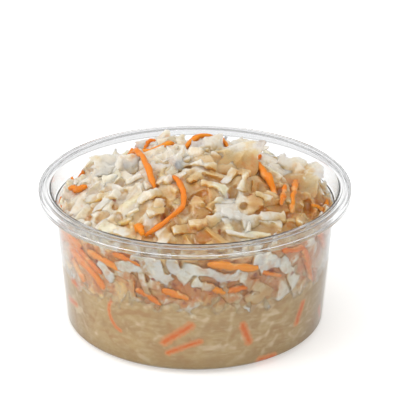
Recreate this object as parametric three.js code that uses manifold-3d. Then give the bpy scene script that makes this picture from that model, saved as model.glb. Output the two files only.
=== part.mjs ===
// Coleslaw in a clear round deli tub, in millimetres, +Z up.
// The origin is the middle of the tub's foot, and the front faces -Y.
// Two solids: the thin-walled tub, and the heap of chopped cabbage and carrot shreds that fills it.

import * as THREE from "three";
import { mergeVertices } from "three/addons/utils/BufferGeometryUtils.js";
import Module from "manifold-3d";

// ---- Driving dimensions ----

const RIM_DIAMETER = 117;
const TUB_HEIGHT = 55;
const SHEET = 0.6; // thickness of the thermoformed plastic
const WALL_TAPER = 4.55; // degrees that each side leans out
const WALL_FOOT_RADIUS = 48.8; // where the wall's outer line would meet the table
const FOOT_RADIUS = 45.9; // outer edge of the ring that the tub stands on
const FOOT_WIDTH = 2.8;
const PANEL_RISE = 0.8; // the middle of the base stands clear of the table
const CORNER_START = 1.2; // the corner springs from the foot at this height
const CORNER_HEIGHT = 4.4; // and meets the wall at this one
const LEDGE_HEIGHT = 47.8; // the stacking ledge below the rim band
const LEDGE_STEP = 0.75;
const LIP_RADIUS = 54.7; // inner edge of the rim
const SKIRT_DROP = 3.2; // how far the rolled rim hangs down outside

const CLEARANCE = 0.35; // between the heap and the tub
const DRESSING_LEVEL = 27; // up to here the dressing fills the tub flush
const SHELF_HEIGHT = 46; // where the mound meets the wall
const MOUND_TOP = 66;
const MOUND_POWER = 2.05; // how flat the top of the mound is
const CORE_DEPTH = 1.5; // the core lies this far below the pieces that show
const LUMP = 1.2; // height of the core's bumps
const CORE_RIM = 49; // radius of the core's top, inside the wall

const CABBAGE = { length: [7.5, 14], width: [3, 5.8], thickness: [1.1, 1.7] };
const SHRED = { width: 2.1, thickness: 1.7 };
const MOUND_CABBAGE = 72;
const WALL_CABBAGE = 32;
const LOOSE_SHREDS = 6;
const SHRED_SPREAD = 46; // radius that the loose shreds lie within
const CABBAGE_SPREAD = 48.5;
const SINK = 0.3; // how far a shred's middle line lies in the mound

const AROUND = 56; // facets round the tub

const wasm = await Module();
wasm.setup();

// ---- Shared helpers ----

const radians = THREE.MathUtils.degToRad;

const lerp = THREE.MathUtils.lerp;

// A repeatable stream of numbers from 0 to 1.
function seeded(seed) {
  let state = seed;
  return () => {
    state = (state + 0x6d2b79f5) | 0;
    let mixed = Math.imul(state ^ (state >>> 15), 1 | state);
    mixed = (mixed + Math.imul(mixed ^ (mixed >>> 7), 61 | mixed)) ^ mixed;
    return ((mixed ^ (mixed >>> 14)) >>> 0) / 4294967296;
  };
}

// A closed geometry as a solid that can be joined: only positions count, so shared corners merge.
function toSolid(geometry) {
  const bare = geometry.clone();
  bare.deleteAttribute("normal");
  bare.deleteAttribute("uv");
  const merged = mergeVertices(bare, 1e-4);
  return new wasm.Manifold(
    new wasm.Mesh({
      numProp: 3,
      vertProperties: new Float32Array(merged.attributes.position.array),
      triVerts: new Uint32Array(merged.index.array),
    }),
  );
}

// A solid back as geometry, faceted.
function toGeometry(solid) {
  const mesh = solid.getMesh();
  const geometry = new THREE.BufferGeometry();
  geometry.setAttribute("position", new THREE.BufferAttribute(mesh.vertProperties, 3));
  geometry.setIndex(new THREE.BufferAttribute(mesh.triVerts, 1));
  const faceted = geometry.toNonIndexed();
  faceted.computeVertexNormals();
  return faceted;
}

// Spins a profile of [radius, height] pairs about +Z.
function spin(profile, facets) {
  const points = profile.map(([r, z]) => new THREE.Vector2(r, z));
  return new THREE.LatheGeometry(points, facets).rotateX(Math.PI / 2);
}

// ---- The tub ----

// Outer radius of the leaning wall at a height.
function wallRadius(z) {
  return WALL_FOOT_RADIUS + z * Math.tan(radians(WALL_TAPER));
}

// Quarter-round corner from the foot, at its radius and height, up to the wall less an inset.
function cornerArc(footRadius, footHeight, inset) {
  const steps = 3;
  const topRadius = wallRadius(CORNER_HEIGHT) - inset;
  const arc = [];
  for (let i = 0; i <= steps; i += 1) {
    const turn = (i / steps) * (Math.PI / 2);
    arc.push([
      lerp(footRadius, topRadius, Math.sin(turn)),
      lerp(CORNER_HEIGHT, footHeight, Math.cos(turn)),
    ]);
  }
  return arc;
}

// The inside of the tub, from the middle of its floor up to the stacking ledge.
const FOOT_INNER = FOOT_RADIUS - FOOT_WIDTH;
const hollow = [
  [0, PANEL_RISE + SHEET],
  [FOOT_INNER - 0.9, PANEL_RISE + SHEET],
  [FOOT_INNER + 0.3, SHEET],
  [FOOT_RADIUS - SHEET, SHEET],
  ...cornerArc(FOOT_RADIUS + 0.4, CORNER_START + SHEET, SHEET),
  [wallRadius(LEDGE_HEIGHT - 0.2) - SHEET, LEDGE_HEIGHT - 0.2],
];

function tubGeometry() {
  const rim = RIM_DIAMETER / 2;
  const top = TUB_HEIGHT;
  const skirt = top - SKIRT_DROP;
  const ledge = wallRadius(LEDGE_HEIGHT);
  const outside = [
    [0, PANEL_RISE],
    [FOOT_INNER - 1.2, PANEL_RISE],
    [FOOT_INNER, 0],
    [FOOT_RADIUS, 0],
    [FOOT_RADIUS + 0.3, CORNER_START - 0.2],
    ...cornerArc(FOOT_RADIUS + 0.8, CORNER_START, 0),
    [ledge, LEDGE_HEIGHT],
    [ledge + LEDGE_STEP, LEDGE_HEIGHT + 0.5],
    [LIP_RADIUS - 0.4, top - SHEET - 0.7],
    [LIP_RADIUS + 0.3, top - SHEET],
    [rim - 1.6, top - SHEET - 0.1],
    [rim - SHEET - 0.2, top - 1.7],
    [rim - SHEET, skirt],
    [rim, skirt],
    [rim, top - 1.8],
    [rim - 0.5, top - 0.8],
    [rim - 1.6, top],
    [LIP_RADIUS, top],
    [LIP_RADIUS - 0.7, top - 0.6],
    [ledge + LEDGE_STEP - SHEET, LEDGE_HEIGHT + 1.1],
  ];
  return spin([...outside, ...hollow.toReversed()], AROUND);
}

// ---- The heap's form ----

// The largest radius that the heap may reach at a height.
function reach(z) {
  return wallRadius(z) - SHEET - CLEARANCE;
}

// Height of the mound over a point, before its lumps.
function moundHeight(radius) {
  const share = Math.min(radius / reach(SHELF_HEIGHT), 1);
  return lerp(MOUND_TOP, SHELF_HEIGHT, share ** MOUND_POWER);
}

// Lumps about as large as the chopped pieces.
function lump(x, y, z) {
  const across = Math.sin(x * 0.62 + 1.3 * Math.sin(y * 0.21)) * Math.cos(y * 0.55 + 0.4);
  return LUMP * (across + 0.6 * Math.sin(z * 0.7 + x * 0.31 - y * 0.27));
}

// The point on the mound over x, y, with the frame of its surface.
function onMound(x, y) {
  const radius = Math.hypot(x, y);
  const step = 0.05;
  const slope = (moundHeight(radius + step) - moundHeight(Math.max(radius - step, 0))) / (2 * step);
  const outward = new THREE.Vector3(x, y, 0).divideScalar(Math.max(radius, 1e-6));
  const normal = outward.clone().multiplyScalar(-slope).add(new THREE.Vector3(0, 0, 1)).normalize();
  return { point: new THREE.Vector3(x, y, moundHeight(radius)), normal };
}

// A point on the inside of the wall: degrees round from the front towards +X, height, and depth in.
function onWall(angle, z, depth) {
  const turn = radians(angle);
  const radius = reach(z) - depth;
  return new THREE.Vector3(radius * Math.sin(turn), -radius * Math.cos(turn), z);
}

// Pulls a point in until it clears the wall and the floor.
function keepInside(point) {
  const limit = reach(point.z);
  const radius = Math.hypot(point.x, point.y);
  if (radius > limit) {
    point.x *= limit / radius;
    point.y *= limit / radius;
  }
  return point;
}

// Moves a point of the core by its lumps: outwards on the side, upwards on top.
function roughened(place) {
  const radius = Math.hypot(place.x, place.y);
  const bump = lump(place.x, place.y, place.z);
  const side = THREE.MathUtils.smoothstep(radius, 40, 48);
  place.z += bump * (1 - side);
  const pushed = radius > 0 ? 1 + (bump * side) / radius : 1;
  place.x *= pushed;
  place.y *= pushed;
  return keepInside(place);
}

// The core: flush with the wall up to the dressing, set back above it, with a lumpy top.
// Its top is a disc of rings, each six points longer than the one inside it, so that its facets
// are all of one size. Its side is a stack of rings that go down the wall and round the corner.
function coreGeometry() {
  const rings = 10;
  const around = 6 * rings;
  const points = [];
  const index = [];
  const first = (ring) => (ring > 0 ? 1 + 3 * ring * (ring - 1) : 0);
  const spot = (ring, i) => first(ring) + (ring > 0 ? i % (6 * ring) : 0);
  for (let ring = 0; ring <= rings; ring += 1) {
    const radius = (ring / rings) * CORE_RIM;
    const count = Math.max(6 * ring, 1);
    for (let i = 0; i < count; i += 1) {
      const turn = (i / count) * 2 * Math.PI;
      const [x, y] = [radius * Math.cos(turn), radius * Math.sin(turn)];
      points.push(roughened(new THREE.Vector3(x, y, moundHeight(radius) - CORE_DEPTH)));
    }
  }
  for (let ring = 1; ring <= rings; ring += 1) {
    for (let sector = 0; sector < 6; sector += 1) {
      for (let i = 0; i < ring; i += 1) {
        const outer = sector * ring + i;
        const inner = sector * (ring - 1) + i;
        index.push(spot(ring, outer), spot(ring, outer + 1), spot(ring - 1, inner));
        if (i < ring - 1) {
          index.push(spot(ring - 1, inner), spot(ring, outer + 1), spot(ring - 1, inner + 1));
        }
      }
    }
  }
  const roughHeights = [44.5, 37.5, 31];
  const sides = [
    ...roughHeights.map((z) => [reach(z) - CORE_DEPTH, z, true]),
    [reach(DRESSING_LEVEL), DRESSING_LEVEL, false],
    ...hollow
      .filter(([r, z]) => z < CORNER_HEIGHT + 0.1 && r > 0)
      .toReversed()
      .map(([r, z]) => [r - CLEARANCE, z + CLEARANCE, false]),
  ];
  let above = first(rings);
  sides.forEach(([radius, z, rough]) => {
    const below = points.length;
    for (let i = 0; i < around; i += 1) {
      const turn = (i / around) * 2 * Math.PI;
      const place = new THREE.Vector3(radius * Math.cos(turn), radius * Math.sin(turn), z);
      points.push(rough ? roughened(place) : place);
      const next = (i + 1) % around;
      index.push(above + i, below + i, below + next, above + i, below + next, above + next);
    }
    above = below;
  });
  const underside = points.length;
  points.push(new THREE.Vector3(0, 0, points[above].z));
  for (let i = 0; i < around; i += 1) index.push(above + i, underside, above + ((i + 1) % around));
  const geometry = new THREE.BufferGeometry().setFromPoints(points);
  geometry.setIndex(index);
  return geometry;
}

// ---- The pieces that show ----

// A thin wavy solid over a grid: both faces carry the same triangles, and a band closes the edge.
function sheetGeometry(columns, rows, place) {
  const points = [];
  const index = [];
  const perFace = (columns + 1) * (rows + 1);
  const at = (column, row, face) => face * perFace + row * (columns + 1) + column;
  for (const face of [0, 1]) {
    for (let row = 0; row <= rows; row += 1) {
      for (let column = 0; column <= columns; column += 1) {
        const spot = place(column / columns - 0.5, row / rows - 0.5, face - 0.5);
        points.push(spot.x, spot.y, spot.z);
      }
    }
  }
  for (let row = 0; row < rows; row += 1) {
    for (let column = 0; column < columns; column += 1) {
      for (const face of [0, 1]) {
        const corners = [
          at(column, row, face),
          at(column + 1, row, face),
          at(column + 1, row + 1, face),
          at(column, row + 1, face),
        ];
        const [a, b, c, d] = corners;
        index.push(...(face ? [a, b, c, a, c, d] : [c, b, a, d, c, a]));
      }
    }
  }
  const edge = [];
  for (let column = 0; column < columns; column += 1) edge.push([column, 0]);
  for (let row = 0; row < rows; row += 1) edge.push([columns, row]);
  for (let column = columns; column > 0; column -= 1) edge.push([column, rows]);
  for (let row = rows; row > 0; row -= 1) edge.push([0, row]);
  edge.forEach(([column, row], i) => {
    const [nextColumn, nextRow] = edge[(i + 1) % edge.length];
    const low = at(column, row, 0);
    const high = at(column, row, 1);
    const nextLow = at(nextColumn, nextRow, 0);
    const nextHigh = at(nextColumn, nextRow, 1);
    index.push(low, nextLow, nextHigh, low, nextHigh, high);
  });
  const geometry = new THREE.BufferGeometry();
  geometry.setAttribute("position", new THREE.Float32BufferAttribute(points, 3));
  geometry.setIndex(index);
  return geometry;
}

// The size and bend of one chopped piece of cabbage.
function cabbageCut(random) {
  const pick = ([low, high]) => lerp(low, high, random());
  return {
    length: pick(CABBAGE.length),
    width: pick(CABBAGE.width),
    thickness: pick(CABBAGE.thickness),
    arch: lerp(-0.6, 1.5, random()),
    wave: lerp(-0.5, 0.5, random()),
    point: lerp(0.1, 0.75, random()),
  };
}

// Where a spot of a chopped piece lies in the piece's own frame: along, across and out.
function cabbageSpot(cut, u, v, w) {
  const taper = 1 - cut.point * (u + 0.5) ** 2;
  const rise = cut.arch * (1 - 4 * u * u) + cut.wave * Math.sin(5 * u) * v * 2;
  return new THREE.Vector3(u * cut.length, v * cut.width * taper, rise + w * cut.thickness);
}

// A piece lying on the mound: its place and heading, then how it is pitched, rolled and lifted.
function onMoundPiece(cut, grid, { x, y, heading, pitch, roll, lift }) {
  const { point, normal } = onMound(x, y);
  const turn = new THREE.Quaternion()
    .setFromUnitVectors(new THREE.Vector3(0, 0, 1), normal)
    .multiply(new THREE.Quaternion().setFromEuler(new THREE.Euler(roll, pitch, heading, "ZYX")));
  return sheetGeometry(...grid, (u, v, w) => {
    const spot = cabbageSpot(cut, u, v, w).applyQuaternion(turn).add(point);
    return keepInside(spot.addScaledVector(normal, lift));
  });
}

// Lies flatter towards the wall, where the mound thins out.
function moundCabbage(random, x, y) {
  const cut = cabbageCut(random);
  const heading = random() * 2 * Math.PI;
  const calm = 1 - 0.6 * Math.min(Math.hypot(x, y) / reach(SHELF_HEIGHT), 1) ** 4;
  const roll = lerp(-0.6, 0.6, random()) * calm;
  const pitch = lerp(-0.5, 0.5, random()) * calm;
  const lift = lerp(-0.6, 0.4, random());
  return onMoundPiece(cut, [2, 1], { x, y, heading, pitch, roll, lift });
}

// A chopped piece pressed flat against the wall, bent round with it.
function wallCabbage(random, angle, z) {
  const cut = cabbageCut(random);
  const heading = random() * 2 * Math.PI;
  const depth = cut.thickness / 2 + lerp(0, 0.9, random());
  return sheetGeometry(2, 1, (u, v, w) => {
    const spot = cabbageSpot(cut, u, v, w);
    const along = spot.x * Math.cos(heading) - spot.y * Math.sin(heading);
    const up = spot.x * Math.sin(heading) + spot.y * Math.cos(heading);
    const degrees = angle + THREE.MathUtils.radToDeg(along / reach(z));
    return keepInside(onWall(degrees, z + up, depth - w * cut.thickness));
  });
}

// A carrot shred: a small rectangular section drawn along a curve.
function shredGeometry(points, width, thickness, steps) {
  const section = new THREE.Shape([
    new THREE.Vector2(-thickness / 2, -width / 2),
    new THREE.Vector2(thickness / 2, -width / 2),
    new THREE.Vector2(thickness / 2, width / 2),
    new THREE.Vector2(-thickness / 2, width / 2),
  ]);
  const path = new THREE.CatmullRomCurve3(points);
  const geometry = new THREE.ExtrudeGeometry(section, { steps, extrudePath: path, bevelEnabled: false });
  const position = geometry.attributes.position;
  for (let i = 0; i < position.count; i += 1) {
    const place = keepInside(new THREE.Vector3().fromBufferAttribute(position, i));
    position.setXYZ(i, place.x, place.y, place.z);
  }
  return geometry;
}

// Shreds that lie on the mound as arcs: start x and y, heading and turn in degrees, length, and
// how high the arc stands off the mound at its middle.
const MOUND_SHREDS = [
  { x: -15, y: -19.5, heading: 107, length: 25, turn: 10, arch: 2.6 },
  { x: -8.5, y: -17, heading: -58, length: 32, turn: -104, arch: 1.3 },
  { x: -3, y: 9, heading: 50, length: 26, turn: -135, arch: 2.6 },
  { x: 21.5, y: -3, heading: -53, length: 17, turn: -18, arch: 1.6 },
  { x: 37, y: -6, heading: -95, length: 14, turn: -3, arch: 1.8 },
  { x: -46, y: 3, heading: -40, length: 8, turn: 0, arch: 0.8 },
  { x: 43.5, y: -13, heading: -20, length: 14, turn: 95, arch: 0.8 },
  { x: -34.5, y: -31, heading: -40, length: 19, turn: 20, arch: 0.8 },
];

// Shreds that show through the wall: degrees round from the front and height at each end, with
// how far the middle sags, in millimetres.
const WALL_SHREDS = [
  { from: [-65, 38.5], to: [-41, 30], sag: 0.4 },
  { from: [-48, 42], to: [-31, 39], sag: -0.6 },
  { from: [8, 44], to: [27, 41], sag: -0.8 },
  { from: [51, 42.5], to: [60, 29.5], sag: 0.5 },
  { from: [-13, 34], to: [-3, 31.5], sag: 0.3 },
  { from: [14, 34], to: [22, 34.5], sag: -0.5 },
  { from: [28, 39.5], to: [37, 36.5], sag: 0.4 },
];

// Broad wavy leaves that stand out of the mound: place, heading, pitch and roll in degrees.
const LEAVES = [
  { x: 18, y: -3, heading: -35, pitch: -6, roll: 12, length: 17, width: 11 },
  { x: 37, y: -2, heading: -78, pitch: 4, roll: -40, length: 16, width: 9 },
  { x: -34, y: 14, heading: 60, pitch: -22, roll: -28, length: 11, width: 8 },
  { x: -11, y: -14, heading: 48, pitch: 14, roll: -16, length: 14, width: 7 },
  { x: -16, y: 27, heading: 10, pitch: 8, roll: -24, length: 14, width: 9 },
  { x: 19, y: 28, heading: -50, pitch: -4, roll: 6, length: 15, width: 9 },
];

function moundShred({ x, y, heading, length, turn, arch }) {
  const steps = 5;
  const points = [];
  let direction = radians(heading);
  let [px, py] = [x, y];
  for (let i = 0; i <= steps; i += 1) {
    const { point, normal } = onMound(px, py);
    const rise = arch * Math.sin((Math.PI * i) / steps) - SINK;
    points.push(keepInside(point.addScaledVector(normal, rise)));
    px += (length / steps) * Math.cos(direction);
    py += (length / steps) * Math.sin(direction);
    direction += radians(turn) / steps;
  }
  return points;
}

function wallShred({ from, to, sag }) {
  const steps = 4;
  const points = [];
  for (let i = 0; i <= steps; i += 1) {
    const share = i / steps;
    const z = lerp(from[1], to[1], share) - sag * Math.sin(Math.PI * share);
    points.push(onWall(lerp(from[0], to[0], share), z, SHRED.width / 2));
  }
  return points;
}

// Spreads a number of places evenly by the golden angle, each as a share from 0 to 1 and a turn.
function spread(count) {
  const golden = Math.PI * (3 - Math.sqrt(5));
  return Array.from({ length: count }, (_, i) => ({ share: (i + 0.5) / count, turn: i * golden }));
}

function coleslawGeometry() {
  const random = seeded(27);
  const pieces = [];
  MOUND_SHREDS.forEach((shred) => {
    pieces.push(shredGeometry(moundShred(shred), SHRED.width, SHRED.thickness, 6));
  });
  WALL_SHREDS.forEach((shred) => {
    pieces.push(shredGeometry(wallShred(shred), SHRED.width, SHRED.thickness, 4));
  });
  spread(LOOSE_SHREDS).forEach(({ share, turn }) => {
    const radius = SHRED_SPREAD * Math.sqrt(share);
    const loose = {
      x: radius * Math.cos(turn + 0.7),
      y: radius * Math.sin(turn + 0.7),
      heading: random() * 360,
      length: lerp(8, 15, random()),
      turn: lerp(-70, 70, random()),
      arch: lerp(0.8, 2, random()),
    };
    pieces.push(shredGeometry(moundShred(loose), SHRED.width, SHRED.thickness, 4));
  });
  LEAVES.forEach(({ x, y, length, width, ...angles }) => {
    const cut = { length, width, thickness: 1.1, arch: 1.4, wave: 1.1, point: 0.4 };
    const [heading, pitch, roll] = [angles.heading, angles.pitch, angles.roll].map(radians);
    pieces.push(onMoundPiece(cut, [3, 2], { x, y, heading, pitch, roll, lift: 0.6 }));
  });
  spread(MOUND_CABBAGE).forEach(({ share, turn }) => {
    const radius = CABBAGE_SPREAD * Math.sqrt(share);
    pieces.push(moundCabbage(random, radius * Math.cos(turn), radius * Math.sin(turn)));
  });
  spread(WALL_CABBAGE).forEach(({ share, turn }) => {
    const z = lerp(DRESSING_LEVEL + 2, SHELF_HEIGHT - 1.5, share);
    pieces.push(wallCabbage(random, THREE.MathUtils.radToDeg(turn), z));
  });
  const joined = pieces.reduce((heap, piece) => heap.add(toSolid(piece)), toSolid(coreGeometry()));
  // The largest body alone: without scraps, and with the small hollows inside it filled.
  const [heap] = joined.decompose().sort((a, b) => b.volume() - a.volume());
  return toGeometry(heap);
}

// ---- The scene graph ----

const clearPlastic = new THREE.MeshStandardMaterial({
  color: 0xf3f6f6,
  roughness: 0.06,
  metalness: 0,
  transparent: true,
  opacity: 0.3,
});
const tub = new THREE.Mesh(tubGeometry(), clearPlastic);
tub.name = "tub";

const dressedCabbage = new THREE.MeshStandardMaterial({
  color: 0xe6d3b2,
  roughness: 0.4,
  metalness: 0,
});
const coleslaw = new THREE.Mesh(coleslawGeometry(), dressedCabbage);
coleslaw.name = "coleslaw";

const part = new THREE.Group();
part.add(tub, coleslaw);

export default part;
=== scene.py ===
"""Coleslaw heaped in a clear round deli tub.

Blender works in metres, +Z up, with the middle of the tub's foot at the origin and its front
towards -Y. Sizes in the sections below are in millimetres, and MM turns them into metres.
"""

import math

import bpy
import numpy as np
from mathutils import Euler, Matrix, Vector, noise
from mathutils.kdtree import KDTree


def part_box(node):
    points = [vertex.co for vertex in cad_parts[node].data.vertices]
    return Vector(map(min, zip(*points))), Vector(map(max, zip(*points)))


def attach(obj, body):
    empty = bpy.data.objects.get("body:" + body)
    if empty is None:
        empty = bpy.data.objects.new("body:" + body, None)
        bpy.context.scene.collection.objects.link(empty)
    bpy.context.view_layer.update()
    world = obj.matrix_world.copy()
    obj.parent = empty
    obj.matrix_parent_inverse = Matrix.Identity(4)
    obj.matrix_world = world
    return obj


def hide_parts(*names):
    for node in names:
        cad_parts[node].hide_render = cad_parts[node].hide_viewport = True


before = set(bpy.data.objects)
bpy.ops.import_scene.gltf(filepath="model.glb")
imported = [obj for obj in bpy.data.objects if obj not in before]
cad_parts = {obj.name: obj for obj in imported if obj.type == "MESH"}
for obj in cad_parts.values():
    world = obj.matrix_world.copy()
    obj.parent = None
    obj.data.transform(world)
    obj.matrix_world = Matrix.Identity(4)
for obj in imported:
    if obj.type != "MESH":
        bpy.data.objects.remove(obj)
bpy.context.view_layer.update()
bpy.ops.object.select_all(action="DESELECT")

# ---- The camera ----
# It looks down on the tub's front from about 24 degrees above the level, through a long lens, so
# that the tub shows with little perspective.

MM = 0.001
CAMERA_PLACE = (1.9, -731.1, 372.6)
CAMERA_TILT = 66.05
CAMERA_LENS = 191.6
NEAREST_SEEN = 50

scene = bpy.context.scene
scene.view_settings.view_transform = "Standard"

bpy.ops.object.camera_add(
    location=Vector(CAMERA_PLACE) * MM, rotation=(math.radians(CAMERA_TILT), 0, 0)
)
scene.camera = bpy.context.object
scene.camera.data.lens = CAMERA_LENS
scene.camera.data.clip_start = NEAREST_SEEN * MM

# ---- The floor ----
# A plain pale sheet, wide enough to fill the view, with a faint glow that keeps it white. Its
# finish is a tree of shader nodes, as all are: a Finish holds one, and a Value is a socket in it
# that takes arithmetic, so that masks are written as plain expressions.

FLOOR_SIZE = 8000
FLOOR_BLOTCHES = 400
FLOOR_GLOW = 0.35


class Value:
    """An output socket. Arithmetic on it adds Math nodes."""

    def __init__(self, finish, socket):
        self.finish = finish
        self.socket = socket

    def math(self, operation, first, second):
        return self.finish.node("Math", {0: first, 1: second}, operation=operation)

    def __add__(self, other):
        return self.math("ADD", self, other)

    def __sub__(self, other):
        return self.math("SUBTRACT", self, other)

    def __rsub__(self, other):
        return self.math("SUBTRACT", other, self)

    def __mul__(self, other):
        return self.math("MULTIPLY", self, other)

    __radd__ = __add__
    __rmul__ = __mul__

    def between(self, low, high):
        """0 below low, 1 above high, and smooth between them."""
        sockets = {"Value": self, "From Min": low, "From Max": high}
        return self.finish.node("MapRange", sockets, interpolation_type="SMOOTHSTEP")


class Finish:
    """A material under construction, with Object coordinates at hand."""

    def __init__(self, name):
        self.material = bpy.data.materials.new(name)
        self.material.use_nodes = True
        self.tree = self.material.node_tree
        self.tree.nodes.clear()
        self.here = self.node("TexCoord", output="Object")

    def node(self, kind, sockets=(), output=0, **settings):
        """Adds a node with its settings, then feeds its sockets with links or plain values."""
        made = self.tree.nodes.new("ShaderNode" + kind)
        for name, setting in settings.items():
            setattr(made, name, setting)
        for name, value in dict(sockets).items():
            if isinstance(value, Value):
                self.tree.links.new(value.socket, made.inputs[name])
            else:
                made.inputs[name].default_value = value
        return Value(self, made.outputs[output])

    def attribute(self, name):
        return self.node("Attribute", output="Fac", attribute_name=name)

    def noise(self, size, detail=2, stretch=(1, 1, 1)):
        """Noise whose blotches are about as large as size, in millimetres."""
        place = self.node("Mapping", {"Vector": self.here, "Scale": stretch})
        sockets = {"Vector": place, "Scale": 1 / (size * MM), "Detail": detail}
        return self.node("TexNoise", sockets, output="Fac")

    def mix(self, share, first, second):
        """A colour between two."""
        colours = {
            socket: value if isinstance(value, Value) else (*value, 1)
            for socket, value in ((6, first), (7, second))
        }
        return self.node("Mix", {0: share, **colours}, output=2, data_type="RGBA")

    def relief(self, height, depth):
        """A bump of the given depth in millimetres."""
        return self.node("Bump", {"Height": height, "Distance": depth * MM, "Strength": 1})

    def surface(self, **sockets):
        """The Principled shader that these sockets make, named in words with underscores."""
        named = {name.replace("_", " "): value for name, value in sockets.items()}
        return self.node("BsdfPrincipled", named)

    def done(self, shader):
        """Ends the tree in a shader, and gives the material."""
        end = self.tree.nodes.new("ShaderNodeOutputMaterial")
        self.tree.links.new(shader.socket, end.inputs["Surface"])
        return self.material


bpy.ops.mesh.primitive_plane_add(size=FLOOR_SIZE * MM)
floor = bpy.context.object
floor.name = "floor"

paper = Finish("pale floor")
shade = paper.mix(paper.noise(FLOOR_BLOTCHES), (0.95, 0.95, 0.95), (0.97, 0.97, 0.97))
floor.data.materials.append(
    paper.done(
        paper.surface(
            Base_Color=shade,
            Roughness=0.8,
            Emission_Color=(1, 1, 1, 1),
            Emission_Strength=FLOOR_GLOW,
        )
    )
)

# ---- The light ----
# Soft light as in a pale room: a broad lamp overhead and a little behind, a smaller one to the
# left, a weak one in front, and an even glow from all round.

LAMPS = {
    "overhead": {"place": (-250, 260, 1300), "size": 1600, "power": 4.1},
    "left": {"place": (-950, -250, 800), "size": 800, "power": 5.2},
    "front": {"place": (350, -1300, 700), "size": 400, "power": 3.7},
}
LAMPS_AIM_AT = (0, 0, 30)
ROOM_COLOUR = (1.0, 0.99, 0.97, 1)
ROOM_GLOW = 0.65

for name, lamp in LAMPS.items():
    place = Vector(lamp["place"])
    aim = Vector(LAMPS_AIM_AT) - place
    bpy.ops.object.light_add(
        type="AREA", location=place * MM, rotation=aim.to_track_quat("-Z", "Y").to_euler()
    )
    light = bpy.context.object
    light.name = name
    light.data.size = lamp["size"] * MM
    light.data.energy = lamp["power"]

scene.world = bpy.data.worlds.new("pale room")
scene.world.use_nodes = True
room = scene.world.node_tree.nodes["Background"]
room.inputs["Color"].default_value = ROOM_COLOUR
room.inputs["Strength"].default_value = ROOM_GLOW

# ---- The tub ----
# One sheet of clear plastic drawn down into a mould: a foot ring under a panel that stands clear
# of the table, a leaning wall, a stacking ledge, and a rim that is rolled over and down outside,
# with a shallow groove along its top and a bead at the foot of its skirt.

tub_low, tub_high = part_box("tub")
RIM_RADIUS = tub_high.x / MM
TUB_HEIGHT = tub_high.z / MM
SHEET = 0.6
PANEL_HEIGHT = 0.8
PANEL_TOP = PANEL_HEIGHT + SHEET
PANEL_EDGE = 42.2
GUTTER = (43.4, 45.2)
WALL_TAPER = math.radians(4.55)
WALL_FOOT_RADIUS = 48.8
LEDGE_HEIGHT = 47.8
SKIRT_FOOT = TUB_HEIGHT - 4.2
GROOVE = 0.7
TUB_STEPS = 224
MERGED = 0.01
FINISH_TURNS = (48.2, 49.4)


def wall_radius(z):
    """Outer radius of the leaning wall at a height."""
    return WALL_FOOT_RADIUS + z * math.tan(WALL_TAPER)


def wall_inside(z):
    """Inner radius of the leaning wall at a height."""
    return wall_radius(z) - SHEET


def with_rounded_corners(corners, steps=5):
    """The outline through (radius, height, rounding) corners, each rounding made as an arc."""
    outline = []
    for index, (r, z, rounding) in enumerate(corners):
        corner = Vector((r, z))
        if rounding == 0:
            outline.append(corner)
            continue
        before = (Vector(corners[index - 1][:2]) - corner).normalized()
        after = (Vector(corners[(index + 1) % len(corners)][:2]) - corner).normalized()
        half = before.angle(after) / 2
        reach_along = rounding / math.tan(half)
        middle = corner + (before + after).normalized() * rounding / math.sin(half)
        start, end = corner + before * reach_along, corner + after * reach_along
        for step in range(steps + 1):
            chord = start.lerp(end, step / steps) - middle
            outline.append(middle + chord.normalized() * rounding)
    return outline


def spun(name, outline, steps):
    """The piece that an outline of (radius, height) points sweeps about the upright axis."""
    mesh = bpy.data.meshes.new(name)
    points = [(r * MM, 0, z * MM) for r, z in outline]
    mesh.from_pydata(points, [(i, i + 1) for i in range(len(points) - 1)], [])
    piece = bpy.data.objects.new(name, mesh)
    scene.collection.objects.link(piece)
    bpy.context.view_layer.objects.active = piece
    piece.select_set(True)
    bpy.ops.object.mode_set(mode="EDIT")
    bpy.ops.mesh.select_all(action="SELECT")
    bpy.ops.mesh.spin(steps=steps, angle=2 * math.pi, center=(0, 0, 0), axis=(0, 0, 1))
    bpy.ops.mesh.select_all(action="SELECT")
    bpy.ops.mesh.remove_doubles(threshold=MERGED * MM)
    bpy.ops.mesh.normals_make_consistent(inside=False)
    bpy.ops.object.mode_set(mode="OBJECT")
    bpy.ops.object.shade_smooth()
    piece.select_set(False)
    return piece


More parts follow.
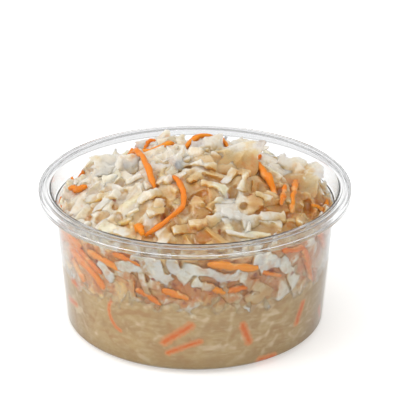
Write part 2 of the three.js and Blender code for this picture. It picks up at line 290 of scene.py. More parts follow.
ledge_radius = wall_radius(LEDGE_HEIGHT)
tub_outline = with_rounded_corners([
    # Underneath: the panel, the foot ring and the wall's foot.
    (0, PANEL_HEIGHT, 0),
    (41.9, PANEL_HEIGHT, 0.5),
    (43.0, 0, 0.4),
    (45.9, 0, 0.5),
    (46.3, 1.2, 0.25),
    (wall_radius(1.2), 1.2, 2.4),
    # Up the wall and over the ledge, then out under the rim.
    (ledge_radius, LEDGE_HEIGHT, 0.3),
    (ledge_radius + 0.75, LEDGE_HEIGHT + 0.5, 0.4),
    (54.4, TUB_HEIGHT - SHEET, 0.3),
    (55.2, TUB_HEIGHT - SHEET, 0.2),
    (56.2, TUB_HEIGHT - SHEET - GROOVE, 0.5),
    (57.2, TUB_HEIGHT - SHEET, 0.2),
    (RIM_RADIUS - SHEET, TUB_HEIGHT - SHEET, 0.4),
    # Down inside the skirt to its bead, and up outside.
    (RIM_RADIUS - SHEET, SKIRT_FOOT + 1.5, 0.3),
    (RIM_RADIUS - SHEET - 0.6, SKIRT_FOOT + 1.0, 0.3),
    (RIM_RADIUS - SHEET - 0.5, SKIRT_FOOT, 0.45),
    (RIM_RADIUS - 0.1, SKIRT_FOOT, 0.45),
    (RIM_RADIUS, TUB_HEIGHT, 0.9),
    # In over the rim, down the inside, and across the foot ring and the panel.
    (57.2, TUB_HEIGHT, 0.2),
    (56.2, TUB_HEIGHT - GROOVE, 0.5),
    (55.2, TUB_HEIGHT, 0.2),
    (53.9, TUB_HEIGHT, 0.7),
    (ledge_radius + 0.15, LEDGE_HEIGHT + 0.75, 0.5),
    (wall_inside(LEDGE_HEIGHT), LEDGE_HEIGHT, 0.5),
    (wall_inside(1.8), 1.8, 2.0),
    (45.6, 1.7, 0.2),
    (GUTTER[1], SHEET, 0.3),
    (GUTTER[0], SHEET, 0.4),
    (PANEL_EDGE, PANEL_TOP, 0.5),
    (0, PANEL_TOP, 0),
])
tub = spun("clear_tub", tub_outline, TUB_STEPS)

# Seen edge on, the sheet is painted greyer, partly for the longer path through it and partly as
# painted shade for the darker things it reflects at that angle, and less so at the rim. Its shadow
# lets most light pass.
plastic = Finish("clear plastic")
haze = plastic.noise(9, detail=3).between(0.35, 0.8)
height = plastic.node("SeparateXYZ", {"Vector": plastic.here}, output="Z")
at_rim = height.between(FINISH_TURNS[0] * MM, FINISH_TURNS[1] * MM)
tint = plastic.mix(at_rim, (0.85, 0.855, 0.86), (0.83, 0.835, 0.845))
edge_tint = plastic.mix(at_rim, (0.24, 0.25, 0.26), (0.58, 0.60, 0.61))
edge_on = plastic.node("LayerWeight", {"Blend": 0.4}, output="Facing")
wall = plastic.surface(
    Base_Color=plastic.mix(edge_on.between(0.4, 0.95), tint, edge_tint),
    Roughness=0.02 + 0.05 * haze + 0.05 * at_rim,
    IOR=1.3,
    Transmission_Weight=1.0,
    Specular_IOR_Level=0.3,
)
shadow = plastic.node("LightPath", output="Is Shadow Ray")
passing = plastic.node("BsdfTransparent", {"Color": (0.93, 0.94, 0.94, 1)})
tub.data.materials.append(
    plastic.done(plastic.node("MixShader", {0: shadow, 1: wall, 2: passing}))
)
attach(tub, "root")
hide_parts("tub")

# ---- The cuts that slaw is made of ----
# White cabbage chopped into strips, squares, thick rib pieces and thin scraps of leaf, and carrot
# cut into long square shreds. Each cut is modelled once or a few times and copied into the heap.

# For each kind of cut: its sizes, the cuts across its length and width, and how far it bends.
SIZES = ("length", "width", "thick")
STRAND = {"length": (7, 14), "width": (1.8, 3.2), "thick": (1.0, 1.6), "cuts": (4, 0), "bend": 1.1}
SLAB = {"length": (5, 10), "width": (3.0, 5.2), "thick": (1.2, 2.0), "cuts": (2, 1), "bend": 0.9}
CHUNK = {"length": (3.5, 6), "width": (2.2, 3.4), "thick": (1.2, 2.0), "cuts": (2, 0), "bend": 0.6}
SCRAP = {"length": (8, 12), "width": (4, 7), "thick": (0.8, 1.1), "cuts": (4, 2), "bend": 1.0}
BLADE = {"length": (10, 10), "width": (4, 4), "thick": (2, 2), "cuts": (5, 1), "bend": 0.5}
BENDS = [("TAPER", "X", 1.2), ("TWIST", "X", 1.2), ("BEND", "Y", 1.0), ("BEND", "Z", 1.0)]
RAGGED = 0.5
FACES_AS_RAGGED = 0.24
CABBAGE_CREASE = 0.35
SHRED_CREASE = 0.4
SHRED_JOSTLE = 0.08

rng = np.random.default_rng(11)


def corners_of(piece):
    """A piece's corners as an array of x, y and z in millimetres."""
    corners = np.empty(len(piece.data.vertices) * 3)
    piece.data.vertices.foreach_get("co", corners)
    return corners.reshape(-1, 3) / MM


class Bit:
    """A modelled cut as arrays in millimetres, with points that feel what it comes to lie on."""

    def __init__(self, piece):
        self.corners = corners_of(piece)
        self.faces = np.array([list(face.vertices) for face in piece.data.polygons])
        centres = self.corners[self.faces].mean(axis=1)
        sides = [
            (self.corners[self.faces[:, i]] + self.corners[self.faces[:, i - 1]]) / 2
            for i in range(4)
        ]
        quarters = [(side + centres) / 2 for side in sides]
        self.feelers = np.concatenate([self.corners, centres])
        self.skin = np.concatenate([self.feelers, *sides, *quarters])
        bpy.data.objects.remove(piece)


def apply(piece, kind, **settings):
    """Adds a modifier and applies it."""
    bpy.context.view_layer.objects.active = piece
    modifier = piece.modifiers.new(kind.title(), kind)
    for name, setting in settings.items():
        setattr(modifier, name, setting)
    bpy.ops.object.modifier_apply(modifier=modifier.name)


def block(length, width, thick, cuts):
    """A block lying along X, cut across its length and across its width."""
    bpy.ops.mesh.primitive_cube_add(size=1, scale=Vector((length, width, thick)) * MM)
    bpy.ops.object.transform_apply(location=False, rotation=False, scale=True)
    piece = bpy.context.object
    for axis, number in enumerate(cuts):
        if number == 0:
            continue
        bpy.ops.object.mode_set(mode="EDIT")
        bpy.ops.mesh.select_mode(type="EDGE")
        bpy.ops.mesh.select_all(action="DESELECT")
        bpy.ops.object.mode_set(mode="OBJECT")
        corners = piece.data.vertices
        for edge in piece.data.edges:
            run = corners[edge.vertices[0]].co - corners[edge.vertices[1]].co
            edge.select = abs(run[axis]) > 0.9 * run.length
        bpy.ops.object.mode_set(mode="EDIT")
        bpy.ops.mesh.subdivide(number_cuts=number)
        bpy.ops.object.mode_set(mode="OBJECT")
    return piece


def rounded(piece, crease):
    """Creases all edges, so that the rounding that follows keeps the piece's form."""
    bpy.ops.object.mode_set(mode="EDIT")
    bpy.ops.mesh.select_all(action="SELECT")
    bpy.ops.transform.edge_crease(value=crease)
    bpy.ops.object.mode_set(mode="OBJECT")
    apply(piece, "SUBSURF", levels=1, render_levels=1)


def chopped(kind, seed, wave=0.0, cup=0.0, ragged=RAGGED):
    """One cut of cabbage: a block jostled, tapered, twisted and bent, then rounded off."""
    length, width, thick = (rng.uniform(*kind[size]) for size in SIZES)
    piece = block(length, width, thick, kind["cuts"])
    for vertex in piece.data.vertices:
        x, y = vertex.co.x / MM, vertex.co.y / MM
        rise = wave * math.sin(0.5 * x + seed) * math.cos(0.6 * y + 2 * seed)
        rise -= cup * (x * x + y * y)
        aside = rng.normal(0, ragged, 2)
        vertex.co += Vector((*aside, rise + rng.normal(0, FACES_AS_RAGGED * ragged))) * MM
    for method, axis, most in BENDS:
        amount = kind["bend"] * rng.uniform(-most, most)
        setting = "factor" if method == "TAPER" else "angle"
        apply(piece, "SIMPLE_DEFORM", deform_method=method, deform_axis=axis, **{setting: amount})
    rounded(piece, CABBAGE_CREASE)
    return Bit(piece)


strands = [chopped(STRAND, seed) for seed in range(1, 17)]
slabs = [chopped(SLAB, seed) for seed in range(21, 33)]
chunks = [chopped(CHUNK, seed) for seed in range(33, 41)]
scraps = [chopped(SCRAP, seed, wave=0.7) for seed in range(41, 49)]
cuts = strands * 4 + slabs * 2 + chunks + scraps * 2
blades = [chopped(BLADE, seed, ragged=0.6) for seed in range(51, 59)]

# A shred is a straight bar, a millimetre thick and wide, until along() gives it its route, its
# real length and its thickness.
bar = block(1000, 1, 1, (17, 0))
for vertex in bar.data.vertices:
    vertex.co += Vector(rng.normal(0, SHRED_JOSTLE, 3)) * MM
rounded(bar, SHRED_CREASE)
straight = Bit(bar)

# ---- Slaw against the wall ----
# Above the dressing, carrot shreds and cabbage press flat against the plastic, one over another,
# up to a shelf from which the heap rises. What shows most is listed one by one, as width and then
# degrees round from the front and height, and cuts at random fill the room behind it.

SHELF_HEIGHT = 46
CLEARANCE = 0.15
TOUCHING = 0.02
# The grid that feels how far the slaw has built up, and how far a cut sinks in and flattens there.
CELL = 0.6
GRID_TOP = 52
SINK = 0.9
PRESSED_FLAT = 0.6
# How far strips lap over one another, how rough a carrot's cut faces are, how thick a pressed
# shred is for its width, and how much narrower than its listed width a strip is laid.
LAP = 1.5
SMOOTH_CUT = 0.06
PRESSED_SHRED = 0.7
NARROWER = 0.95
WALL_SHREDS = [
    (3.4, [(-66, 39), (-58, 37.2), (-50, 34.8), (-41, 29.2)]),
    (2.4, [(-50, 42.5), (-43, 41.8), (-38, 41.0), (-30, 39.0)]),
    (2.4, [(-68, 44), (-61, 43.2), (-54, 42.6)]),
    (2.6, [(-14, 34.4), (-8, 33.2), (-2.5, 31.2)]),
    (2.4, [(13, 33.6), (17, 34.4), (22, 34.2)]),
    (3.0, [(50, 43.5), (54, 38), (57, 32), (60, 24)]),
    (2.0, [(28, 40), (32, 38), (38, 35.6)]),
    (3.0, [(5, 45.5), (13, 44.2), (20, 42.6), (27, 41.2)]),
    (2.2, [(7, 35.5), (10, 34.5), (12.5, 33)]),
    (2.4, [(62, 44.5), (67, 41), (70, 36)]),
    (2.2, [(38, 46), (44, 44.5), (51, 43.5)]),
    (2.0, [(-25, 33), (-20, 31.5), (-14, 28)]),
    (3.0, [(-75, 42), (-66, 41.5), (-58, 40)]),
    (2.6, [(-58, 41.2), (-50, 38.4), (-42, 35.2)]),
    (2.4, [(-63, 34.4), (-58, 31.2), (-54, 28)]),
    (2.2, [(-35, 45.4), (-28, 44.6), (-22, 43.2)]),
]
WALL_STRIPS = [
    (5.5, [(-33, 40), (-25, 43.6), (-14, 45)]),
    (5.0, [(-22, 42.4), (-16, 41.6), (-10, 38)]),
    (3.0, [(-33.5, 38.6), (-28, 37.6)]),
    (2.6, [(-22.5, 40.6), (-21, 35.9), (-19.2, 30.8)]),
    (2.4, [(-27, 36), (-26.2, 29.6)]),
    (4.4, [(-9.8, 46), (-6.7, 42.3), (-3, 39)]),
    (4.0, [(-4, 44.4), (4, 42.4)]),
    (3.6, [(5.9, 42.4), (10.8, 39.6), (16.6, 39.6)]),
    (4.2, [(17.6, 41.6), (20.5, 38.4), (23.6, 34.4)]),
    (4.6, [(25.7, 46), (30, 44.4), (35.4, 42)]),
    (4.0, [(27.8, 40.4), (32, 42), (36.4, 41.7)]),
    (3.4, [(0, 38.4), (4, 36.4), (8, 35.6)]),
    (4.4, [(12, 34), (15, 31.4), (19, 29.6)]),
    (4.2, [(25, 34.8), (29, 32.6), (33.4, 30)]),
    (5.0, [(38, 42), (42, 37), (47, 29.6)]),
    (3.4, [(-18.4, 36.7), (-14.2, 34.6)]),
    (4.0, [(-61, 31.5), (-56, 24)]),
    (4.4, [(-42, 40.2), (-36, 34.6)]),
    (4.6, [(22, 30), (29, 28)]),
]
MORE_WALL_SHREDS = 34
WALL_CUTS = 1300
CHIPS_BY_A_STRIP = 2


def reach(z):
    """The largest radius that the slaw may have at a height, just inside the wall."""
    return wall_inside(z) - CLEARANCE


MOUND_EDGE = reach(SHELF_HEIGHT)


class Ground:
    """How far the slaw has built up from a surface, such as the wall, over a grid of cells."""

    def __init__(self, low, high, wraps):
        self.low = np.array(low, float)
        self.shape = np.ceil((np.array(high) - self.low) / CELL).astype(int)
        self.wraps = wraps
        self.form = np.zeros(self.shape)
        self.top = np.zeros(self.shape)

    def cells(self, points):
        """The cells that points lie over. Round the wall, the last is next to the first."""
        found = np.floor((points[..., :2] - self.low) / CELL).astype(int)
        if self.wraps:
            found[..., 0] %= self.shape[0]
        found = np.clip(found, 0, self.shape - 1)
        return found[..., 0], found[..., 1]

    def cover(self, points):
        """Raises the cells that points lie over up to the points."""
        np.maximum.at(self.top, self.cells(points), points[:, 2])

    def slope(self, x, y):
        """The turn that lays a piece along the surface at a place."""
        return np.eye(3)


class Scatter:
    """Copies of bits, gathered to become one piece."""

    def __init__(self, name, ground):
        self.name = name
        self.ground = ground
        self.corners = []
        self.faces = []
        self.tones = []
        self.coats = []
        self.count = 0

    def add(self, corners, faces, tone=None, coat=0.0):
        """Adds a copy with a tone of its own, and how much more dressing it wears than others."""
        tone = rng.uniform() if tone is None else tone
        self.ground.cover(corners)
        self.corners.append(on_the_wall(corners) if self.ground.wraps else corners)
        self.faces.append((faces[:, ::-1] if self.ground.wraps else faces) + self.count)
        self.tones.append(np.full(len(corners), tone))
        self.coats.append(np.zeros(len(corners)) + coat)
        self.count += len(corners)

    def joined(self):
        """One object of all the copies, without a finish."""
        mesh = bpy.data.meshes.new(self.name)
        mesh.from_pydata(np.concatenate(self.corners) * MM, [], np.concatenate(self.faces))
        mesh.polygons.foreach_set("use_smooth", [True] * len(mesh.polygons))
        piece = bpy.data.objects.new(self.name, mesh)
        scene.collection.objects.link(piece)
        return piece


def on_the_wall(points):
    """Points given as arc length round, height and depth, bent round the inside of the wall."""
    turn = points[:, 0] / MOUND_EDGE
    radius = reach(points[:, 1]) - points[:, 2]
    return np.stack([radius * np.sin(turn), -radius * np.cos(turn), points[:, 1]], axis=1)


def any_of(bits):
    """One of the bits at random."""
    return bits[rng.integers(len(bits))]


def settle(scatter, bit, region, tilt, over, tries, coat):
    """Lets a copy of a bit down at the lowest of a few places, unless it stands too high there."""
    ground = scatter.ground
    turns, places = [], []
    for _ in range(tries):
        x, y = region()
        turned = Euler((*rng.normal(0, tilt, 2), rng.uniform(0, 2 * math.pi))).to_matrix()
        turns.append(ground.slope(x, y) @ np.array(turned) * rng.uniform(0.8, 1.25, 3))
        places.append((x, y, 0))
    turns, places = np.array(turns), np.array(places)
    if ground.wraps:
        turns[:, 2] *= PRESSED_FLAT
    points = np.einsum("tij,pj->tpi", turns, bit.feelers) + places[:, None]
    cells = ground.cells(points)
    lifts = (ground.top[cells] - points[..., 2]).max(axis=1) - SINK
    points[..., 2] += lifts[:, None]
    stands = points[..., 2] - ground.form[cells]
    best = stands.mean(axis=1).argmin()
    if stands[best].max() > over:
        return
    places[best, 2] = lifts[best]
    ground.cover(bit.skin @ turns[best].T + places[best])
    corners = bit.corners @ turns[best].T + places[best]
    if ground.wraps:
        corners[:, 2] = np.maximum(corners[:, 2], rng.uniform(TOUCHING, 0.3))
    scatter.add(corners, bit.faces, coat=coat)


def strew(scatter, number, region, tilt, over, tries, coats):
    """Settles a number of cabbage cuts in a region, each as thickly coated as chance has it."""
    for _ in range(number):
        coat = rng.uniform(*coats)
        settle(scatter, any_of(cuts), region, tilt, over, tries, coat)


def set_down(scatter, width, thick, start, end, depth, coat, lean=0.0, tone=None):
    """Sets a flat blade of cabbage between two places on the mound or wall."""
    start, end = np.array(start[:2], float), np.array(end[:2], float)
    run = end - start
    bit = any_of(blades)
    size = np.array((np.hypot(*run) + LAP, width, thick)) / [BLADE[name][0] for name in SIZES]
    turned = Euler((lean, 0, math.atan2(run[1], run[0]))).to_matrix()
    middle = (start + end) / 2
    turned = scatter.ground.slope(*middle) @ np.array(turned)
    corners = (bit.corners * size) @ turned.T + (*middle, depth)
    if scatter.ground.wraps:
        corners[:, 2] = np.maximum(corners[:, 2], rng.uniform(TOUCHING, 0.25))
    scatter.add(corners, bit.faces, tone, coat)


def smooth_route(points, count=60):
    """A smooth curve through a few points, sampled evenly."""
    points = np.array(points, float)
    share = np.linspace(0, 1, count)
    if len(points) == 2:
        return points[0] + (points[1] - points[0]) * share[:, None]
    knots = np.linspace(0, 1, len(points))
    curves = [np.polyfit(knots, axis, min(len(points) - 1, 4)) for axis in points.T]
    return np.stack([np.polyval(curve, share) for curve in curves], 1)


def along(route, width, thick):
    """A shred bent along a route of x, y and height, its wide face down, its ends thinned."""
    step = np.gradient(route, axis=0)
    step /= np.linalg.norm(step, axis=1)[:, None]
    sideways = np.cross((0, 0, 1), step)
    sideways /= np.linalg.norm(sideways, axis=1)[:, None]
    upwards = np.cross(step, sideways)
    share = straight.corners[:, 0] / np.ptp(straight.corners[:, 0]) + 0.5
    roll = rng.uniform(-0.4, 0.4) + rng.uniform(-1.0, 1.0) * share
    swell = 1 + 0.14 * np.sin(rng.uniform(0, 6.3) + rng.uniform(6, 11) * share)
    swell *= np.clip(1.02 - np.abs(2 * share - 1) ** 5 * 0.6, 0.3, 1)
    y, z = straight.corners[:, 1] * width * swell, straight.corners[:, 2] * thick * swell
    y += rng.normal(0, SMOOTH_CUT, len(y)) * (np.abs(y) > 0.2 * width)
    y, z = y * np.cos(roll) - z * np.sin(roll), y * np.sin(roll) + z * np.cos(roll)
    place = share * (len(route) - 1)

    def at(values):
        return np.stack([np.interp(place, np.arange(len(route)), axis) for axis in values.T], 1)

    return at(route) + at(sideways) * y[:, None] + at(upwards) * z[:, None]


side = Ground((0, 0), (2 * math.pi * MOUND_EDGE, GRID_TOP), wraps=True)
carrots_at_wall = Scatter("carrots_by_the_wall", side)
wall_slaw = Scatter("cabbage_by_the_wall", side)
wall_bed = Scatter("bed_by_the_wall", side)


def lay_on_wall(width, places, depth=0.1):
    """Lays a carrot shred against the wall through places given in degrees and height."""
    thick = PRESSED_SHRED * width
    route = smooth_route([
        (math.radians(turn) * MOUND_EDGE, z, depth + thick * 0.4) for turn, z in places
    ])
    corners = along(route, width, thick)
    corners[:, 2] = np.maximum(corners[:, 2], TOUCHING)
    carrots_at_wall.add(corners, straight.faces)


def up_the_wall():
    """A random place on the wall, from a little under the dressing's edge to the shelf."""
    return rng.uniform(0, 2 * math.pi * MOUND_EDGE), rng.uniform(21, SHELF_HEIGHT + 0.5)


for width, places in WALL_SHREDS:
    lay_on_wall(width, places)
for width, places in WALL_STRIPS:
    places = np.array(places, float) * (math.radians(MOUND_EDGE), 1)
    for start, end in zip(places, places[1:]):
        height = (start[1] + end[1]) / 2
        set_down(
            wall_slaw, NARROWER * width, rng.uniform(1.2, 2.0), start, end, rng.uniform(0.4, 1.2),
            tone=rng.uniform(-0.9, 0.2), coat=(42 - height) / 30 - 0.6 + rng.uniform(-0.1, 0.5),
        )
    for _ in range(CHIPS_BY_A_STRIP):
        settle(
            wall_slaw, any_of(chunks),
            lambda: places[0] + (places[-1] - places[0]) * rng.uniform() + rng.normal(0, 1.5, 2),
            tilt=0.2, over=3, tries=2, coat=-0.3,
        )
for _ in range(MORE_WALL_SHREDS):
    turn, z = rng.uniform(75, 285), rng.uniform(27, 44)
    heading, length = rng.normal(0, 0.6), rng.uniform(8, 22)
    sag = rng.uniform(-2, 2)
    ends = [
        (turn + math.degrees(share * length * math.cos(heading) / MOUND_EDGE),
         z + share * length * math.sin(heading) + sag * (1 - 4 * share * share))
        for share in (-0.5, 0, 0.5)
    ]
    width = rng.uniform(1.8, 2.8)
    lay_on_wall(width, ends, rng.uniform(0.1, 1.2))
strew(wall_bed, WALL_CUTS, up_the_wall, tilt=0.2, over=4, tries=8, coats=(-0.5, 0.5))

# ---- Dressing ----
# Creamy dressing has sunk to the bottom of the tub and wets the plastic there. Its edge climbs
# unevenly, and between the pieces above it draws back from the wall.

DRESSING_LEVEL = 26.0
DRESSING_TOP = 38
DRESSING_STEPS = 600
INTO_WALL = 0.15
RECEDES = 2.4
UNROLLED = 50
GHOSTS = 560
SUNK_SHREDS = [
    (2.4, [(-64, 25.5), (-58, 25.1)]),
    (1.3, [(-36.3, 26.5), (-38.4, 22.2), (-37.2, 17.5), (-33.2, 14.3)]),
    (2.2, [(-71, 15), (-62, 16)]),
    (2.6, [(-12.8, 13.2), (-7.1, 17), (-1.7, 20.6)]),
    (1.9, [(-11.2, 8.7), (-4.3, 11.7), (2.1, 13.9)]),
    (2.4, [(20.4, 19), (23.5, 11.7)]),
    (2.4, [(52.3, 20), (49.1, 13)]),
    (2.2, [(29, 2.8), (36.9, 2.6)]),
    (2.2, [(70, 11), (73, 7)]),
]

# It fills the tub's foot: over the panel, down into the foot ring, round the corner, up the wall.
outline = [(0, PANEL_TOP - INTO_WALL), (PANEL_EDGE + INTO_WALL, PANEL_TOP - INTO_WALL)]
outline += [(GUTTER[0], SHEET - INTO_WALL), (GUTTER[1] + INTO_WALL, SHEET - INTO_WALL)]
outline += [(45.7, 1.8 - INTO_WALL)]
outline += [
    (46.6 + 2.05 * math.sin(turn), 3.75 - 2.1 * math.cos(turn))
    for turn in np.linspace(0.05, 1.5, 8)
]
outline += [(wall_inside(z) + INTO_WALL, z) for z in np.linspace(4.4, DRESSING_TOP, 84)]
outline += [(40, DRESSING_TOP), (0, DRESSING_TOP)]
dressing = spun("dressing", outline, DRESSING_STEPS)

skin = corners_of(dressing)
radius = np.hypot(skin[:, 0], skin[:, 1])
turns = np.arctan2(skin[:, 0], -skin[:, 1])
shown = np.flatnonzero(radius > 41)
flat = np.stack([turns[shown] * UNROLLED, skin[shown, 2]], axis=1)


def under_the_skin(width, places):
    """How much of a piece sunk just behind the dressing's face shows at each of its points."""
    route = smooth_route([(math.radians(turn) * UNROLLED, z) for turn, z in places], 24)
    away = np.full(len(flat), 100.0)
    near = np.flatnonzero(
        (np.abs(flat - route.mean(axis=0)) < np.ptp(route, axis=0) / 2 + 2 * width).all(axis=1)
    )
    if len(near):
        away[near] = np.linalg.norm(flat[near, None] - route[None], axis=2).min(axis=1)
    return np.clip(1 - away / width, 0, 1)


def write_looks(piece, looks):
    """Writes values on a piece's corners under names, for its finish to read."""
    for name, values in looks.items():
        piece.data.attributes.new(name, "FLOAT", "POINT").data.foreach_set("value", values)


sunk = np.zeros(len(skin))
for width, places in SUNK_SHREDS:
    sunk[shown] = np.maximum(sunk[shown], under_the_skin(1.1 * width, places))

# Ghosts are the faint strands of cabbage in the dressing, some paler than it and some darker.
ghosts = np.zeros(len(skin))
for _ in range(GHOSTS):
    turn, z = rng.uniform(-180, 180), rng.uniform(1, 30)
    heading, length, bow = rng.normal(0, 0.8), rng.uniform(4, 13), rng.uniform(-2.5, 2.5)
    places = [
        (turn + share * length * math.cos(heading) * 1.15,
         z + share * length * math.sin(heading) + bow * (1 - 4 * share * share))
        for share in (-0.5, 0, 0.5)
    ]
    ghosts[shown] += under_the_skin(rng.uniform(0.9, 2.0), places) * rng.uniform(-0.9, 0.9)

# Above the dressing's edge the face draws back from the wall.
for index in shown[skin[shown, 2] > 12]:
    place = Vector(skin[index])
    level = DRESSING_LEVEL + 2.4 * math.sin(2.1 * turns[index] - 1.2) ** 2 - 1.2
    level += 5.0 * noise.noise(Vector((place.x, place.y, 0)) / 9) + 4.5 * noise.noise(place / 3.5)
    back = max(place.z - level, 0)
    inward = min(0.5 * back, RECEDES) / radius[index]
    skin[index, :2] *= 1 - inward
dressing.data.vertices.foreach_set("co", skin.ravel() * MM)
dressing.data.update()
write_looks(dressing, {"sunk": sunk, "ghosts": 0.5 + 0.5 * np.clip(ghosts, -1, 1)})

cream = Finish("dressing")
swirl = cream.noise(8, detail=4, stretch=(1, 1, 1.8))
streak = cream.noise(2.6, detail=3, stretch=(1, 1, 2.6))
pale = cream.mix(swirl.between(0.3, 0.7), (0.43, 0.265, 0.10), (0.53, 0.37, 0.165))
pale = cream.mix(streak.between(0.45, 0.75) * 0.6, pale, (0.63, 0.495, 0.29))
ghosts = cream.attribute("ghosts")
pale = cream.mix(ghosts.between(0.55, 1.1) * 0.7, pale, (0.78, 0.64, 0.42))
pale = cream.mix((1 - ghosts).between(0.55, 1.0) * 0.7, pale, (0.43, 0.225, 0.07))
height = cream.node("SeparateXYZ", {"Vector": cream.here}, output="Z")
flecks = cream.noise(1.7, detail=3).between(0.55, 0.7) * height.between(20 * MM, 28 * MM)
pale = cream.mix(flecks * 0.7, pale, (0.41, 0.20, 0.055))
# Painted shade: darker brown towards the bottom, where the tub's foot lies in shade.
pale = cream.mix((1 - height.between(0.5 * MM, 10 * MM)) * 0.7, pale, (0.31, 0.19, 0.055))
under = cream.attribute("sunk") + 0.7 * cream.noise(1.1, detail=3) - 0.35
stained = cream.mix(under.between(0.1, 0.6) * 0.8, pale, (0.74, 0.30, 0.09))
cream_material = cream.done(
    cream.surface(
        Base_Color=cream.mix(under.between(0.55, 0.95), stained, (0.72, 0.15, 0.006)),
        Roughness=0.3 + 0.15 * streak,
        Normal=cream.relief(cream.noise(1.8, detail=3), 0.15),
        Subsurface_Weight=0.3,
        Subsurface_Radius=(1.0, 0.7, 0.4),
        Subsurface_Scale=0.002,
        Coat_Weight=0.3,
        Coat_Roughness=0.1,
    )
)
dressing.data.materials.append(cream_material)
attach(dressing, "root")
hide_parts("coleslaw")

# ---- The heap above the rim ----
# A dome with hummocks: a bed of cabbage, loose cuts over it, then broad leaves, strips and carrot
# shreds. What shows most is listed one by one, as x, y and how far it stands off what it lies on,
# and the other cuts lie at random.

MOUND_TOP = 66
MOUND_POWER = 2.05
# How deep below the heap's form the bed starts, and the fence that keeps cuts off the wall.
BED = 3.4
FENCE = 0.3
OUT_OF_REACH = 200
# How far apart the slope is felt, and over how many steps a shred's ground is evened out.
SLOPE_STEP = 2.0
EVENED = 10
# How thick a loose shred is for its width, and how much wider than listed a strip is laid.
LOOSE_SHRED = 0.8
WIDER = 0.2
LEAF = {"thick": (1.1, 1.1), "cuts": (6, 5), "bend": 0.8}
LEAVES = [
    {"place": (16, -5, 2.4), "heading": -8, "lean": 32, "length": 15, "width": 18, "coat": 1.0},
    {"place": (40, 0, 2.6), "heading": -30, "lean": 25, "length": 14, "width": 22, "coat": 0.7},
    {"place": (36, 6, 2.6), "heading": -20, "lean": 50, "length": 12, "width": 8, "coat": 0.1},
    {"place": (-32, 6, 2.2), "heading": 30, "lean": 25, "length": 13, "width": 9, "coat": 0.0},
    {"place": (-25, -1, 2.4), "heading": 5, "lean": 55, "length": 10, "width": 8, "coat": 0.0},
    {"place": (-5, -9, 1.8), "heading": 50, "lean": 35, "length": 12, "width": 7, "coat": 0.0},
    {"place": (5, 6, 1.8), "heading": 5, "lean": 30, "length": 13, "width": 8, "coat": 0.0},
    {"place": (-16, 27, 1.6), "heading": 10, "lean": 20, "length": 14, "width": 9, "coat": 0.1},
    {"place": (19, 28, 1.6), "heading": -50, "lean": 15, "length": 15, "width": 9, "coat": 0.1},
]
MOUND_STRIPS = [
    (3.4, [(-40, -10.8, 0.6), (-34, -14.4, 1.0), (-28, -20, 0.4)]),
    (3.4, [(-25.4, -28, 0.4), (-20, -27.8, 1.0), (-16.4, -25.7, 1.2), (-13, -24, 0.6)]),
    (3.6, [(-18, -18, 0.4), (-14, -17, 1.0), (-9.5, -20, 0.4)]),
    (3.0, [(-9.2, -15.6, 0.6), (-6, -10, 1.6), (-2.6, -4.3, 2.4)]),
    (2.0, [(-13, -15.4, 0.6), (-11, -9, 1.4)]),
    (3.0, [(-27.4, -31, 0.5), (-22.8, -31.3, 0.8)]),
    (3.6, [(-37, -20.4, 0.5), (-31, -19.8, 0.9)]),
    (3.0, [(-44, -18, 0.4), (-38.4, -25.3, 0.6)]),
    (3.4, [(-7.4, -40.8, 0.3), (-3, -40, 0.8), (1.6, -40, 0.4)]),
    (2.6, [(-1, -10.6, 1.2), (2.5, -11.2, 1.2)]),
    (2.6, [(4.2, -11.8, 1.2), (7.4, -11.4, 1.2)]),
    (2.6, [(18.7, -13, 1.6), (18, -18, 1.6), (17, -23, 0.4)]),
    (1.8, [(21.3, -15, 1.4), (21.6, -23, 0.4)]),
    (3.0, [(3, -23, 0.6), (7, -24.3, 1.2), (11.4, -24.6, 0.6)]),
    (3.6, [(5.2, -32, 0.4), (9.8, -27.8, 1.2), (14.8, -25.2, 0.8)]),
    (3.8, [(4.4, -37.8, 0.4), (9.7, -35.5, 1.0), (15.8, -34.4, 0.6)]),
    (4.4, [(17.4, -35.2, 0.5), (24.2, -31.8, 1.2), (32.5, -28.6, 0.5)]),
    (2.2, [(25.2, -26.3, 0.6), (31.3, -19.8, 1.0)]),
    (2.4, [(33.6, -12, 1.4), (34.4, -20.6, 0.6)]),
    (1.6, [(11.6, -40.7, 0.5), (22.4, -39.4, 0.6)]),
    (1.6, [(18.5, -38.4, 0.8), (26.8, -37.8, 0.4)]),
    (2.6, [(37.3, -27.8, 0.4), (40.5, -22.2, 0.8)]),
    (3.6, [(-1.6, -40.4, 0.9), (3.8, -39.2, 0.9)]),
    (3.2, [(-16.4, -33, 0.4), (-11, -32.8, 0.8)]),
    (3.4, [(-33.8, -8, 0.6), (-28.8, -8.2, 1.0)]),
    (3.4, [(-25, -13.3, 0.5), (-20, -11.5, 1.0)]),
    (3.2, [(-6.4, -27.6, 0.4), (0.2, -30.4, 0.6)]),
    (3.2, [(-2, -19, 0.8), (2, -16.4, 1.0)]),
    (3.0, [(14.8, -14, 0.8), (10.8, -19.4, 0.8)]),
    (2.8, [(22.8, -23, 0.6), (27.4, -23.8, 0.8)]),
    (4.0, [(-33.5, -31, 0.3), (-28, -35.6, 0.6), (-20.5, -39.6, 0.4)]),
]
